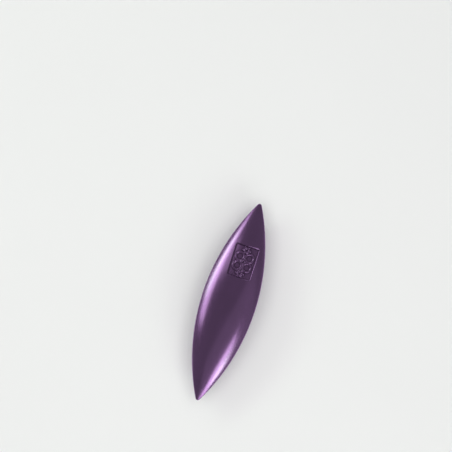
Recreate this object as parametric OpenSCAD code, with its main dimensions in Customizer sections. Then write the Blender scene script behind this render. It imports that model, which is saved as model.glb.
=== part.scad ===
/* [Outline] */
// Length over both tips
shuttle_length = 70; // [60:0.5:80]
// Width of the blades at their middle
shuttle_width = 18.8; // [16:0.2:22]
// Thickness over the crowns of both blades
shuttle_thickness = 13.6; // [11:0.2:16]
// Radius of the blunted tips, seen from above
tip_r = 0.8; // [0.6:0.1:1.2]

/* [Blades] */
// Thickness of the stamped sheet
sheet_t = 0.8; // [0.6:0.1:1]
// Slope of the crown at the long edges, in degrees
edge_slope = 38; // [28:1:42]
// Radius of the crown across the very tips
tip_crown_r = 3; // [2:0.5:6]
// Depth ground flat on each tip, where the blades bear on each other
tip_land = 0.15; // [0.05:0.05:0.3]

/* [Post] */
// Length of the post along the shuttle
post_length = 15; // [13:0.5:20]
// Thickness of the post across the shuttle
post_width = 5; // [4:0.25:7]
// Diameter of the hole that takes the start of the thread
thread_hole_d = 1.5; // [1:0.1:2.5]
// Chamfer at both mouths of the thread hole
thread_hole_chamfer = 0.3; // [0.1:0.05:0.6]
// Film of adhesive between the post and each blade
bond_gap = 0.05; // [0.04:0.01:0.1]

/* [Pins] */
// Diameter of the pins that stand inside each blade
pin_d = 1.6; // [1.2:0.1:2]
// Length of a pin below the blade
pin_length = 3; // [2:0.25:4]
// Distance between the two pins of a blade
pin_spacing = 9; // [7:0.5:10]
// Radial clearance of a pin in its bore
pin_clearance = 0.05; // [0.02:0.01:0.1]
// Space left under a pin in its blind bore
pin_end_gap = 0.3; // [0.1:0.1:0.6]
// Weld film between a pin and the blade
weld_gap = 0.03; // [0.02:0.01:0.05]

/* [Hidden] */
$fn = 96;

// Steps of the blade's surface: along half of it, across it and round its rim
along = 22;
across = 12;
round_rim = 6;
// Half the step over which a slope is measured
slope_step = 0.01;
// Angle that the seats of the post are swept to each side of the middle
seat_sweep = 14;

// Outline in plan: a long arc on each side, run into a small arc at each tip
half_width = shuttle_width / 2;
tip_x = shuttle_length / 2 - tip_r;
outline_r = (pow(tip_x, 2) / (half_width - tip_r) + half_width + tip_r) / 2;
outline_y = outline_r - half_width;
blend_x = tip_x * outline_r / (outline_r - tip_r);

// Middle surface of the sheet, whose border lies one rim radius inside the outline
rim_r = sheet_t / 2;
mid_end_x = shuttle_length / 2 - rim_r;
crown_z = shuttle_thickness / 2 - rim_r;
tip_z = rim_r - tip_land;
bow_r = (pow(mid_end_x, 2) + pow(crown_z - tip_z, 2)) / (2 * (crown_z - tip_z));

function unit(v) = v / norm(v);

// How far an arc has dropped at a distance from its top
function arc_drop(r, distance) = r - sqrt(r * r - distance * distance);

// Distance from the centreline to the long arc and to the border of the middle surface
function side_y(x) = half_width - rim_r - arc_drop(outline_r - rim_r, x);
function border_y(x) = abs(x) < blend_x
    ? side_y(x)
    : sqrt(max(0, pow(tip_r - rim_r, 2) - pow(abs(x) - tip_x, 2)));

// The crown's radius follows the width, so the edges keep one slope up to the tips
function crown_r(x) = norm([max(0, side_y(x)) / sin(edge_slope), tip_crown_r]);

function mid_z(x, y) = crown_z - arc_drop(bow_r, x) - arc_drop(crown_r(x), y);

function normal(x, y) = unit([
    mid_z(x - slope_step, y) - mid_z(x + slope_step, y),
    mid_z(x, y - slope_step) - mid_z(x, y + slope_step),
    2 * slope_step]);

// Direction out of the border, in plan
function outward(x, y) = abs(x) < blend_x
    ? unit([x, y + sign(y) * outline_y, 0])
    : unit([x - sign(x) * tip_x, y, 0]);

// A point on the sheet's skin. share runs from -1 to 1 across the blade. turn is 90 on the
// outer face, -90 on the inner face and between them round the rim.
function skin(x, share, turn) =
    let (y = share * border_y(x),
         up = normal(x, y),
         out = abs(share) < 1 ? [0, 0, 0] : outward(x, y),
         flat = out - (out * up) * up,
         side = norm(flat) > 0 ? unit(flat) : flat,
         p = [x, y, mid_z(x, y)] + rim_r * (cos(turn) * side + sin(turn) * up))
    [p.x, p.y, max(0, p.z)];

// One closed section of the blade, as shares and turns
section = concat(
    [for (j = [0 : across]) [1 - 2 * j / across, 90]],
    [for (j = [1 : round_rim - 1]) [-1, 90 - 180 * j / round_rim]],
    [for (j = [0 : across]) [2 * j / across - 1, -90]],
    [for (j = [1 : round_rim - 1]) [1, 180 * j / round_rim - 90]]);
section_n = len(section);
last = 2 * along;

// Sections lie closer together towards the tips, where the outline turns
function station_x(k) = mid_end_x * sin(90 * (k - along) / along);

skin_points = concat(
    [for (k = [1 : last - 1]) for (s = section) skin(station_x(k), s.x, s.y)],
    [for (k = [0, last]) for (j = [0 : round_rim]) skin(station_x(k), 1, 90 - 180 * j / round_rim)]);

// At each tip the section has closed to a single column of points round the rim
function column(i) = round((90 - section[i % section_n].y) * round_rim / 180);
function point_at(k, i) =
    k == 0 ? (last - 1) * section_n + column(i) :
    k == last ? (last - 1) * section_n + round_rim + 1 + column(i) :
    (k - 1) * section_n + i % section_n;

skin_faces = [
    for (k = [0 : last - 1])
    for (i = [0 : section_n - 1])
    let (a = point_at(k, i), b = point_at(k, i + 1), c = point_at(k + 1, i + 1), d = point_at(k + 1, i))
    for (f = [[a, b, c], [a, c, d]])
    if (f.x != f.y && f.y != f.z && f.z != f.x) f];

module blade() {
    color([0.55, 0.41, 0.59]) polyhedron(skin_points, skin_faces);
}

// Everything below the upper blade's inner face, at the middle of the shuttle, less a gap
module under_blade(gap) {
    face_r = crown_r(0) - rim_r - gap;
    sweep_r = bow_r - rim_r - gap;
    depth = 3 * shuttle_thickness;
    translate([0, 0, crown_z - bow_r])
        rotate([0, -90, -90])
            rotate_extrude(angle = 2 * seat_sweep, start = -seat_sweep, $fn = 720)
                union() {
                    intersection() {
                        translate([sweep_r - face_r, 0]) circle(face_r, $fn = 360);
                        translate([sweep_r - face_r, -face_r]) square([face_r, 2 * face_r]);
                    }
                    translate([sweep_r - depth, -face_r]) square([depth - face_r, 2 * face_r]);
                }
}

// Places its children at both pins of the upper blade
module at_pins() {
    for (x = [-1, 1])
        translate([x * pin_spacing / 2, 0, 0])
            children();
}

// Height of the blade's inner face over a pin
pin_seat_z = crown_z - rim_r - arc_drop(bow_r, pin_spacing / 2);

module post_outline() {
    straight = post_length - post_width;
    square([straight, post_width], center = true);
    for (x = [-1, 1])
        translate([x * straight / 2, 0])
            circle(d = post_width);
}

module pin_bores() {
    depth = pin_length + pin_end_gap;
    at_pins()
        translate([0, 0, pin_seat_z - depth])
            cylinder(h = 2 * depth, d = pin_d + 2 * pin_clearance);
}

module thread_hole() {
    rotate([90, 0, 0]) {
        cylinder(h = 2 * post_width, d = thread_hole_d, center = true);
        for (side = [0, 180])
            rotate([side, 0, 0])
                translate([0, 0, post_width / 2 - thread_hole_chamfer])
                    cylinder(
                        h = 2 * thread_hole_chamfer,
                        d1 = thread_hole_d,
                        d2 = thread_hole_d + 4 * thread_hole_chamfer);
    }
}

module centre_post() {
    color("silver")
        difference() {
            intersection() {
                linear_extrude(shuttle_thickness, center = true) post_outline();
                under_blade(bond_gap);
                mirror([0, 0, 1]) under_blade(bond_gap);
            }
            pin_bores();
            mirror([0, 0, 1]) pin_bores();
            thread_hole();
        }
}

module pins() {
    color([0.55, 0.41, 0.59])
        intersection() {
            at_pins()
                translate([0, 0, pin_seat_z - pin_length])
                    cylinder(h = 2 * pin_length, d = pin_d);
            under_blade(weld_gap);
        }
}

module upper_blade() { blade(); }
module lower_blade() { mirror([0, 0, 1]) blade(); }
module upper_pins() { pins(); }
module lower_pins() { mirror([0, 0, 1]) pins(); }

upper_blade();
lower_blade();
centre_post();
upper_pins();
lower_pins();
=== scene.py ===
"""A post shuttle for tatting: two anodised blades on an oval post, seen from straight above."""
import math

import bpy
import numpy as np
from mathutils import Matrix, Vector


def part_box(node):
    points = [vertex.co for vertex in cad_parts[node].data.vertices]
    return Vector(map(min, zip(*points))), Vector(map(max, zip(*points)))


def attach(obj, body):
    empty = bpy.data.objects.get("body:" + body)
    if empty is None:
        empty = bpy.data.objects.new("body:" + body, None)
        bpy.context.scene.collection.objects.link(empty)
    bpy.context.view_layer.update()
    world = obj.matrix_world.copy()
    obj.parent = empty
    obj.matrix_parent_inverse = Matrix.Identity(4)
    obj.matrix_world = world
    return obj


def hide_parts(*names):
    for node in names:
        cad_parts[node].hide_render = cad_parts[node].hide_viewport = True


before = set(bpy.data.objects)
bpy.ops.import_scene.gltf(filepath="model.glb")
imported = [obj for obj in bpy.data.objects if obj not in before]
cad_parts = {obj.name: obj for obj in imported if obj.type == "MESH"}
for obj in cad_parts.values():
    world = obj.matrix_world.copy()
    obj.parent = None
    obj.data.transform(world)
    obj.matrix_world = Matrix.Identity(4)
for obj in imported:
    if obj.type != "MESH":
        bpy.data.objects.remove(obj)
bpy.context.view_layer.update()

MM = 0.001

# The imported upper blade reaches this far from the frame's origin, which is its middle in plan
HALF_LENGTH, HALF_WIDTH, HALF_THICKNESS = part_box("upper_blade")[1]

# Sizes of the blade's form, as the part's source has them
SHEET = 0.8 * MM
TIP_RADIUS = 0.8 * MM
TIP_CROWN_RADIUS = 3 * MM
TIP_LAND = 0.15 * MM
EDGE_SLOPE = math.radians(38)

# Plan outline of the blade: a long arc on each side and a small arc at each tip
TIP_X = HALF_LENGTH - TIP_RADIUS
OUTLINE_RADIUS = (TIP_X**2 / (HALF_WIDTH - TIP_RADIUS) + HALF_WIDTH + TIP_RADIUS) / 2
OUTLINE_Y = OUTLINE_RADIUS - HALF_WIDTH
BLEND_X = TIP_X * OUTLINE_RADIUS / (OUTLINE_RADIUS - TIP_RADIUS)

# Middle surface of the sheet
RIM_RADIUS = SHEET / 2
MID_END_X = HALF_LENGTH - RIM_RADIUS
CROWN_Z = HALF_THICKNESS - RIM_RADIUS
TIP_Z = RIM_RADIUS - TIP_LAND
BOW_RADIUS = (MID_END_X**2 + (CROWN_Z - TIP_Z) ** 2) / (2 * (CROWN_Z - TIP_Z))

# Debossed panel near the tip at +X
PANEL_X = 14.5 * MM
PANEL_Y = -0.5 * MM
PANEL_LENGTH = 11.1 * MM
PANEL_WIDTH = 7.9 * MM
PANEL_CORNER = 0.5 * MM
PANEL_DEPTH = 0.22 * MM
PANEL_WALL = 0.26 * MM

# Ornament of rings and picots that stands up in the panel
STROKE = 0.46 * MM
STROKE_HEIGHT = 0.2 * MM
STROKE_WALL = 0.16 * MM
HEART_RADIUS = 0.6 * MM
PETALS = 4
PETAL_RADIUS = 1.4 * MM
PETAL_REACH = 2.3 * MM
END_RING_RADIUS = 0.7 * MM
END_RING_REACH = 4 * MM
PICOTS = 6
PICOT_RADIUS = 0.24 * MM
PICOT_REACH = END_RING_RADIUS + 0.5 * MM

# Painted shade in the panel, which darkens the colour at the foot of its walls and round its
# strokes:
# how far inside the panel's edge and how far outside a stroke's edge it is darkest, and how far it
# reaches from there
WALL_SHADE_PLACE = 0.7 * PANEL_WALL
WALL_SHADE_REACH = 0.352 * MM
STROKE_SHADE_PLACE = 1.5 * STROKE_WALL
STROKE_SHADE_REACH = 0.32 * MM
# How dark the painted shade is there, where 1 and above is full: at the panel's +X end, at most of
# its walls, at its wall on the -Y side and at the strokes
SHADE_AT_END = 1.1
SHADE_AT_WALL = 0.99
SHADE_AT_SIDE = 0.55
SHADE_AT_STROKE = 0.85

# Width of the band along the rim that shows wear
WORN_BAND = 0.5 * MM

# Fineness of the blade's mesh, and the step over which a slope is measured
STATIONS_PER_HALF = 60
PANEL_STEP = 0.08 * MM
OUTER_STEPS = 220
PLAIN_OUTER_STEPS = 48
INNER_STEPS = 24
RIM_STEPS = 12
SLOPE_STEP = 0.01 * MM

# Turns round the rim, and those past which a point counts to the outer and to the inner face
RIM_TURNS = np.radians(90 - 180 * np.arange(RIM_STEPS + 1) / RIM_STEPS)
OUTER_FACE_TURN = math.radians(89)
INNER_FACE_TURN = math.radians(-20)

# Linear colours of the dyed blades, of the bare post and of the floor
BLADE_TINT = (0.283, 0.128, 0.35)
POST_TINT = (0.62, 0.62, 0.63)
FLOOR_TINT = (0.86, 0.85, 0.86)

# Where the shuttle falls in the photograph, in pixels, and how far it leans to the right
IMAGE_SIDE = 452
SHUTTLE_PIXELS = 206.3
SHUTTLE_CENTRE_PIXEL = (228.65, 302.0)
SHUTTLE_LEAN = math.radians(17.81)

# Distances in metres
CAMERA_HEIGHT = 0.8
LAMP_DISTANCE = 0.8
FLOOR_HALF = 0.7

# The brightest highlights have lost their purple in the photograph, so the lamps that make them
# are greenish
CORE_COLOUR = (0.9, 1.5, 0.84)

# Image axes in the row frame: the columns are right, up and towards the camera
IMAGE_AXES = Matrix((
    (math.sin(SHUTTLE_LEAN), math.cos(SHUTTLE_LEAN), 0),
    (-math.cos(SHUTTLE_LEAN), math.sin(SHUTTLE_LEAN), 0),
    (0, 0, 1),
))


def arc_drop(radius, distance):
    """How far an arc has dropped at a distance from its top."""
    return radius - np.sqrt(np.maximum(radius**2 - distance**2, 0))


def side_y(x):
    """Distance from the centreline to the long arc of the middle surface."""
    return HALF_WIDTH - RIM_RADIUS - arc_drop(OUTLINE_RADIUS - RIM_RADIUS, x)


def border_y(x):
    """Distance from the centreline to the border of the middle surface."""
    at_tip = (TIP_RADIUS - RIM_RADIUS) ** 2 - (np.abs(x) - TIP_X) ** 2
    return np.where(np.abs(x) < BLEND_X, side_y(x), np.sqrt(np.maximum(at_tip, 0)))


def crown_radius(x):
    """The crown's radius follows the width, so the edges keep one slope up to the tips."""
    return np.hypot(np.maximum(side_y(x), 0) / math.sin(EDGE_SLOPE), TIP_CROWN_RADIUS)


def mid_z(x, y):
    """Height of the middle surface."""
    return CROWN_Z - arc_drop(BOW_RADIUS, x) - arc_drop(crown_radius(x), y)


def unit(v):
    return v / np.maximum(np.linalg.norm(v, axis=-1, keepdims=True), 1e-12)


def normal(x, y):
    """Direction out of the middle surface, towards the outer face."""
    slope_x = mid_z(x - SLOPE_STEP, y) - mid_z(x + SLOPE_STEP, y)
    slope_y = mid_z(x, y - SLOPE_STEP) - mid_z(x, y + SLOPE_STEP)
    return unit(np.stack([slope_x, slope_y, np.full_like(x, 2 * SLOPE_STEP)], -1))


def outward(x, y):
    """Direction out of the border, in plan."""
    zero = np.zeros_like(x)
    on_side = np.stack([x, y + np.sign(y) * OUTLINE_Y, zero], -1)
    on_tip = np.stack([x - np.sign(x) * TIP_X, y, zero], -1)
    return unit(np.where((np.abs(x) < BLEND_X)[..., None], on_side, on_tip))


def skin(x, share, turn, relief):
    """Points on the sheet. share runs from -1 to 1 across it. turn is 90 degrees on the outer
    face, -90 on the inner face and between them round the rim. relief lifts the outer face."""
    y = share * border_y(x)
    up = normal(x, y)
    out = outward(x, y)
    side = unit(out - (out * up).sum(-1, keepdims=True) * up)
    middle = np.stack([x, y, mid_z(x, y)], -1)
    reach = RIM_RADIUS * np.cos(turn)[..., None]
    rise = (RIM_RADIUS * np.sin(turn) + relief(x, y) * (turn > OUTER_FACE_TURN))[..., None]
    points = middle + reach * side + rise * up
    points[..., 2] = np.maximum(points[..., 2], 0)
    return points


def ramp(distance, width):
    """Smooth step from 1 inside an edge to 0 outside it, over a width."""
    t = np.clip(0.5 - distance / width, 0, 1)
    return t * t * (3 - 2 * t)


def spaced_round(centre, radius, count):
    """Places spaced evenly round a circle, the first of them half a step in."""
    for k in range(count):
        angle = 2 * math.pi * (k + 0.5) / count
        yield centre[0] + radius * math.cos(angle), centre[1] + radius * math.sin(angle)


def ring(x, y, centre, radius):
    """Distance to the stroke of a ring."""
    return np.abs(np.hypot(x - centre[0], y - centre[1]) - radius) - STROKE / 2


def picot(x, y, centre):
    """Distance to a small dot."""
    return np.hypot(x - centre[0], y - centre[1]) - PICOT_RADIUS


def ornament(x, y):
    """Distance to a flower of four rings round a small one, and a picoted ring at each end."""
    x, y = x - PANEL_X, y - PANEL_Y
    shapes = [ring(x, y, (0, 0), HEART_RADIUS)]
    for petal in spaced_round((0, 0), PETAL_REACH, PETALS):
        shapes.append(ring(x, y, petal, PETAL_RADIUS))
    for centre in ((-END_RING_REACH, 0), (END_RING_REACH, 0)):
        shapes.append(ring(x, y, centre, END_RING_RADIUS))
        for dot in spaced_round(centre, PICOT_REACH, PICOTS):
            shapes.append(picot(x, y, dot))
    return np.minimum.reduce(shapes)


def panel(x, y):
    """Distance to the debossed panel, less than 0 inside it."""
    over_x = np.abs(x - PANEL_X) - PANEL_LENGTH / 2 + PANEL_CORNER
    over_y = np.abs(y - PANEL_Y) - PANEL_WIDTH / 2 + PANEL_CORNER
    outside = np.hypot(np.maximum(over_x, 0), np.maximum(over_y, 0))
    return outside + np.minimum(np.maximum(over_x, over_y), 0) - PANEL_CORNER


def panel_relief(x, y):
    """Height of the upper blade's outer face over its plain crown."""
    stroke = STROKE_HEIGHT * ramp(ornament(x, y), STROKE_WALL)
    return (stroke - PANEL_DEPTH) * ramp(panel(x, y), PANEL_WALL)


def no_relief(x, y):
    return np.zeros_like(x)


def painted_panel_shade(x, y):
    """Painted shade at the foot of the panel's walls and round its strokes. It is darkest at the
    +X end, where it also dims a glint on the wall, and least along the wall on the -Y side."""
    at_wall = 1 - np.abs(panel(x, y) + WALL_SHADE_PLACE) / WALL_SHADE_REACH
    at_stroke = 1 - np.abs(ornament(x, y) - STROKE_SHADE_PLACE) / STROKE_SHADE_REACH
    from_side = np.clip(2 * (y - PANEL_Y) / PANEL_WIDTH + 1, 0, 1)
    along_walls = SHADE_AT_SIDE + (SHADE_AT_WALL - SHADE_AT_SIDE) * from_side
    at_end = x > PANEL_X + PANEL_LENGTH / 2 - PANEL_CORNER
    inside = panel(x, y) < -PANEL_WALL / 2
    wall_shade = at_wall * np.where(at_end, SHADE_AT_END, along_walls)
    stroke_shade = np.where(inside, SHADE_AT_STROKE * at_stroke, 0)
    return np.clip(np.maximum(wall_shade, stroke_shade), 0, 1)


def section(outer_steps):
    """One closed section of the blade, as shares and turns."""
    outer = np.linspace(1, -1, outer_steps + 1)
    inner = np.linspace(1, -1, INNER_STEPS + 1)[::-1]
    rim = RIM_TURNS[1:-1]
    shares = [outer, -np.ones_like(rim), inner, np.ones_like(rim)]
    turns = [np.full_like(outer, RIM_TURNS[0]), rim, np.full_like(inner, RIM_TURNS[-1]), rim[::-1]]
    return np.concatenate(shares), np.concatenate(turns)


def stations(with_panel):
    """Places of the sections along the blade, close together at the tips and at the panel."""
    steps = np.arange(-STATIONS_PER_HALF, STATIONS_PER_HALF + 1) / STATIONS_PER_HALF
    x = MID_END_X * np.sin(steps * math.pi / 2)
    if not with_panel:
        return x
    start = PANEL_X - PANEL_LENGTH / 2 - PANEL_WALL
    end = PANEL_X + PANEL_LENGTH / 2 + PANEL_WALL
    fine = np.arange(start, end, PANEL_STEP)
    return np.sort(np.concatenate([x[(x < start) | (x > end)], fine]))


def blade_mesh(name, x, outer_steps, relief, side):
    """A closed blade. side is 1 for the upper blade and -1 for its mirror image below."""
    shares, turns = section(outer_steps)
    body = [skin(np.full_like(shares, station), shares, turns, relief) for station in x[1:-1]]
    tips = [
        skin(np.full_like(RIM_TURNS, tip), np.ones_like(RIM_TURNS), RIM_TURNS, relief)
        for tip in (x[0], x[-1])
    ]
    points = np.concatenate(body + tips) * (1, 1, side)

    # At each tip the section has closed to a single column of points round the rim
    section_n = len(shares)
    tip_start = len(body) * section_n
    column = np.rint((RIM_TURNS[0] - turns) * RIM_STEPS / math.pi).astype(int)
    rows = [tip_start + column]
    rows += [k * section_n + np.arange(section_n) for k in range(len(body))]
    rows += [tip_start + len(RIM_TURNS) + column]
    loops = [np.append(row, row[0]).tolist() for row in rows]

    faces = []
    for near, far in zip(loops, loops[1:]):
        for i in range(section_n):
            face = list(dict.fromkeys((near[i], near[i + 1], far[i + 1], far[i])))
            if len(face) > 2:
                faces.append(face if side < 0 else face[::-1])
    mesh = bpy.data.meshes.new(name)
    mesh.from_pydata(points.tolist(), [], faces)
    mesh.update()
    mesh.shade_smooth()
    mark_skin(mesh, points, np.concatenate([np.tile(turns, len(body)), RIM_TURNS, RIM_TURNS]), side)
    piece = bpy.data.objects.new(name, mesh)
    bpy.context.scene.collection.objects.link(piece)
    return piece


def mark_skin(mesh, points, turns, side):
    """Stores how close each point is to the rim, which points lie on the inner face, and where the
    outer face of the upper blade is debossed or carries painted shade."""
    x, y = points[:, 0], points[:, 1]
    with_panel = (turns > OUTER_FACE_TURN) & (side > 0)
    values = {
        "rim": np.clip(1 - (border_y(x) - np.abs(y)) / WORN_BAND, 0, 1),
        "inner": (turns < INNER_FACE_TURN).astype(float),
        "debossed": with_panel * ramp(panel(x, y), PANEL_WALL),
        "painted_shade": with_panel * painted_panel_shade(x, y),
    }
    for name, value in values.items():
        attribute = mesh.attributes.new(name, "FLOAT", "POINT")
        attribute.data.foreach_set("value", value.astype(np.float32))


class Shader:
    """Builds one node material, with object coordinates counted in millimetres. Where a method
    takes a value, this is a number, a colour or the socket of another node."""

    def __init__(self, name):
        self.material = bpy.data.materials.new(name)
        self.material.use_nodes = True
        self.tree = self.material.node_tree
        self.surface = self.tree.nodes["Principled BSDF"]
        self.coordinates = self.tree.nodes.new("ShaderNodeTexCoord")

    def put(self, value, socket):
        if isinstance(value, bpy.types.NodeSocket):
            self.tree.links.new(value, socket)
        else:
            socket.default_value = value

    def feed(self, name, value):
        """Gives one socket of the surface its value."""
        self.put(value, self.surface.inputs[name])

    def add(self, kind, inputs, **settings):
        node = self.tree.nodes.new(kind)
        for key, value in settings.items():
            setattr(node, key, value)
        for key, value in inputs.items():
            self.put(value, node.inputs[key])
        return node

    def noise(self, scale, detail):
        """Noise from 0 to 1, whose scale is in waves per millimetre along each axis."""
        stretch = {"Vector": self.coordinates.outputs["Object"], "Scale": Vector(scale) / MM}
        stretched = self.add("ShaderNodeMapping", stretch).outputs["Vector"]
        inputs = {"Vector": stretched, "Scale": 1.0, "Detail": detail, "Roughness": 0.55}
        return self.add("ShaderNodeTexNoise", inputs).outputs["Fac"]

    def attribute(self, name):
        return self.add("ShaderNodeAttribute", {}, attribute_name=name).outputs["Fac"]

    def remap(self, value, source, target):
        """Carries a value from one range to another, and stops at its ends."""
        inputs = {
            "Value": value,
            "From Min": source[0],
            "From Max": source[1],
            "To Min": target[0],
            "To Max": target[1],
        }
        return self.add("ShaderNodeMapRange", inputs).outputs["Result"]

    def math(self, operation, a, b):
        return self.add("ShaderNodeMath", {0: a, 1: b}, operation=operation).outputs["Value"]

    def mix(self, factor, a, b):
        """Mixes two colours. The node takes them at its inputs 6 and 7 and gives its output 2."""
        inputs = {"Factor": factor, 6: a, 7: b}
        return self.add("ShaderNodeMix", inputs, data_type="RGBA").outputs[2]

    def bump(self, height, distance, strength, base=None):
        inputs = {"Height": height, "Distance": distance, "Strength": strength}
        if base:
            inputs["Normal"] = base
        return self.add("ShaderNodeBump", inputs).outputs["Normal"]


def shade(tint, factor):
    """A tint made lighter or darker, with full alpha."""
    return tuple(min(1.0, c * factor) for c in tint) + (1.0,)


def anodised_purple():
    """Dyed aluminium: tinted metal under a thin clear oxide, with faint satin and polish lines."""
    s = Shader("anodised_purple")
    clouds = s.noise((0.11, 0.2, 0.2), 2.0)
    lines = s.noise((0.12, 5.0, 5.0), 3.0)
    satin = s.noise((9.0, 9.0, 9.0), 2.0)
    rim = s.attribute("rim")
    inner = s.attribute("inner")
    debossed = s.attribute("debossed")
    painted_shade = s.attribute("painted_shade")

    # The dye varies a little and is worn thin in specks along the rim, and painted shade darkens it
    # at the foot of the panel's walls and round its strokes
    cloudy = s.remap(clouds, (0.35, 0.65), (0.0, 1.0))
    tone = s.mix(cloudy, shade(BLADE_TINT, 0.96), shade(BLADE_TINT, 1.04))
    worn = s.math("MULTIPLY", rim, s.remap(satin, (0.5, 0.7), (0.0, 0.35)))
    dyed = s.mix(worn, tone, shade(BLADE_TINT, 1.7))
    s.feed("Base Color", s.mix(s.math("MULTIPLY", painted_shade, 0.9), dyed, shade(BLADE_TINT, 0.2)))
    s.feed("Metallic", 1.0)

    # Polish lines vary the gloss, and the inner face and the panel are duller
    streaks = s.remap(lines, (0.3, 0.7), (0.19, 0.23))
    gloss = s.math("ADD", streaks, s.remap(clouds, (0.3, 0.7), (-0.01, 0.01)))
    duller = s.math("MULTIPLY", s.math("ADD", inner, debossed), 0.07)
    s.feed("Roughness", s.math("ADD", gloss, duller))

    # The oxide is thinner on the inner face, and the coat is taken off where the shade is painted,
    # so that no reflection lightens it there
    uncoated = s.math("MAXIMUM", painted_shade, s.math("MULTIPLY", inner, 0.7))
    s.feed("Coat Weight", s.math("SUBTRACT", 1.0, uncoated))
    s.feed("Coat Roughness", 0.17)
    s.feed("Coat IOR", 1.6)

    fine = s.bump(satin, 0.01 * MM, 0.08)
    s.feed("Normal", s.bump(lines, 0.01 * MM, 0.06, fine))
    return s.material


def clear_anodised():
    """Bare-coloured aluminium with fine drawn lines up the post."""
    s = Shader("clear_anodised")
    clouds = s.noise((0.4, 0.4, 0.2), 2.0)
    drawn = s.noise((9.0, 9.0, 0.25), 3.0)
    cloudy = s.remap(clouds, (0.3, 0.7), (0.0, 1.0))
    s.feed("Base Color", s.mix(cloudy, shade(POST_TINT, 0.94), shade(POST_TINT, 1.06)))
    s.feed("Metallic", 1.0)
    s.feed("Roughness", s.remap(drawn, (0.3, 0.7), (0.3, 0.4)))
    s.feed("Normal", s.bump(drawn, 0.02 * MM, 0.3))
    return s.material


def pale_floor():
    """Pale matte card, with the faintest mottle."""
    s = Shader("pale_floor")
    mottle = s.noise((0.02, 0.02, 0.02), 2.0)
    s.feed("Base Color", s.mix(mottle, shade(FLOOR_TINT, 0.99), shade(FLOOR_TINT, 1.01)))
    s.feed("Roughness", 0.8)
    return s.material


def dress_blades(material):
    """Puts the finely meshed blades in the place of the solids."""
    upper = blade_mesh("upper_blade_skin", stations(True), OUTER_STEPS, panel_relief, 1)
    lower = blade_mesh("lower_blade_skin", stations(False), PLAIN_OUTER_STEPS, no_relief, -1)
    for piece, node in ((upper, "upper_blade"), (lower, "lower_blade")):
        piece.data.materials.append(material)
        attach(piece, "root")
        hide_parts(node)


def dress_node(node, material):
    """Gives a solid that stays its finished material."""
    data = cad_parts[node].data
    data.materials.clear()
    data.materials.append(material)


def lay_floor():
    z = -HALF_THICKNESS
    half = FLOOR_HALF
    corners = [(-half, -half, z), (half, -half, z), (half, half, z), (-half, half, z)]
    mesh = bpy.data.meshes.new("floor")
    mesh.from_pydata(corners, [], [(0, 1, 2, 3)])
    mesh.materials.append(pale_floor())
    floor = bpy.data.objects.new("floor", mesh)
    bpy.context.scene.collection.objects.link(floor)


def place_camera():
    """Straight above, so that the shuttle falls where it does in the photograph."""
    metres_per_pixel = 2 * HALF_LENGTH / SHUTTLE_PIXELS
    right = (IMAGE_SIDE / 2 - SHUTTLE_CENTRE_PIXEL[0]) * metres_per_pixel
    up = (SHUTTLE_CENTRE_PIXEL[1] - IMAGE_SIDE / 2) * metres_per_pixel
    lens = bpy.data.cameras.new("camera")
    lens.angle = 2 * math.atan(IMAGE_SIDE / 2 * metres_per_pixel / CAMERA_HEIGHT)
    lens.clip_start = 0.01
    camera = bpy.data.objects.new("camera", lens)
    camera.matrix_world = IMAGE_AXES.to_4x4()
    camera.location = IMAGE_AXES @ Vector((right, up, CAMERA_HEIGHT))
    bpy.context.scene.collection.objects.link(camera)
    bpy.context.scene.camera = camera


def direction(azimuth, elevation):
    """Unit vector in image axes: right, up and towards the camera."""
    azimuth, elevation = math.radians(azimuth), math.radians(elevation)
    flat = math.cos(elevation)
    return Vector((math.sin(azimuth) * flat, math.sin(elevation), math.cos(azimuth) * flat))


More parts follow.
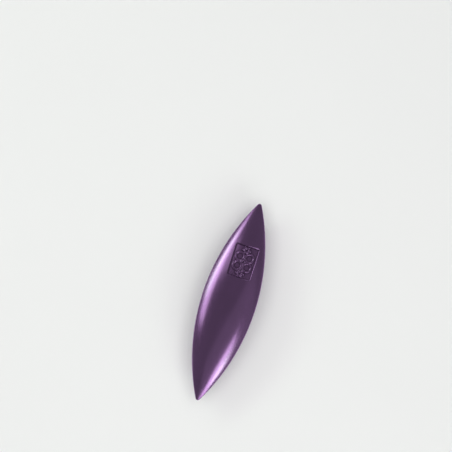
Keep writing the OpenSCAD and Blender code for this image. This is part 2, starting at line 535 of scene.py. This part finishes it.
def softbox(name, start, end, width, radiance, colour=(1, 1, 1)):
    """A strip lamp that faces the shuttle. Its ends lie at two directions in image axes, each an
    azimuth and an elevation in degrees."""
    a = IMAGE_AXES @ (direction(*start) * LAMP_DISTANCE)
    b = IMAGE_AXES @ (direction(*end) * LAMP_DISTANCE)
    centre = (a + b) / 2
    along = (b - a).normalized()
    across = centre.normalized().cross(along).normalized()
    facing = along.cross(across)
    lamp = bpy.data.lights.new(name, "AREA")
    lamp.shape = "RECTANGLE"
    lamp.size = (b - a).length
    lamp.size_y = width
    lamp.energy = radiance * math.pi * lamp.size * lamp.size_y
    lamp.color = colour
    holder = bpy.data.objects.new(name, lamp)
    holder.matrix_world = Matrix((along, across, facing)).transposed().to_4x4()
    holder.location = centre
    bpy.context.scene.collection.objects.link(holder)
    return holder


def light_world():
    """A dim grey studio overhead that brightens to a pale wall near the horizon."""
    world = bpy.data.worlds.new("studio")
    world.use_nodes = True
    tree = world.node_tree
    background = tree.nodes["Background"]
    coordinates = tree.nodes.new("ShaderNodeTexCoord")
    split = tree.nodes.new("ShaderNodeSeparateXYZ")
    fade = tree.nodes.new("ShaderNodeValToRGB")
    tree.links.new(coordinates.outputs["Generated"], split.inputs[0])
    tree.links.new(split.outputs["Z"], fade.inputs[0])
    tree.links.new(fade.outputs["Color"], background.inputs["Color"])
    pale, dim = fade.color_ramp.elements
    pale.position = 0.08
    pale.color = (0.8, 0.8, 0.8, 1)
    dim.position = 0.25
    dim.color = (0.193, 0.193, 0.193, 1)
    bpy.context.scene.world = world


def light_lamps():
    """A window on the left and a diffuser on the right, each built up from overlapping strips, the
    faint glow of the ceiling and the room, and a fill overhead that shows in no reflection."""
    softbox("window_core", (-63.5, 14.5), (-47.5, 41.7), 0.1, 2.4, CORE_COLOUR)
    softbox("window", (-60, 2), (-41, 49), 0.19, 1.7)
    softbox("window_glow", (-38, 20), (-39.2, 34.5), 0.43, 0.55)
    softbox("ceiling_glow", (-40, 56), (-8, 57), 0.16, 0.9)
    softbox("diffuser_core", (37, -47), (56, -40.5), 0.17, 1.6, CORE_COLOUR)
    softbox("diffuser", (37, -44), (59, -36), 0.22, 0.68)
    softbox("diffuser_tail", (53, -44), (-12, -51), 0.12, 2.3)
    softbox("diffuser_edge", (46, -29), (20, -46), 0.12, 1.9)
    softbox("room_glow", (60, -8), (-24, -41), 0.56, 0.085)
    fill = softbox("overhead_fill", (0, -30), (0, 30), 0.9, 1.8)
    fill.visible_glossy = False


place_camera()
purple = anodised_purple()
dress_blades(purple)
dress_node("centre_post", clear_anodised())
for pins in ("upper_pins", "lower_pins"):
    dress_node(pins, purple)
lay_floor()
light_world()
light_lamps()
bpy.context.scene.view_settings.view_transform = "Standard"
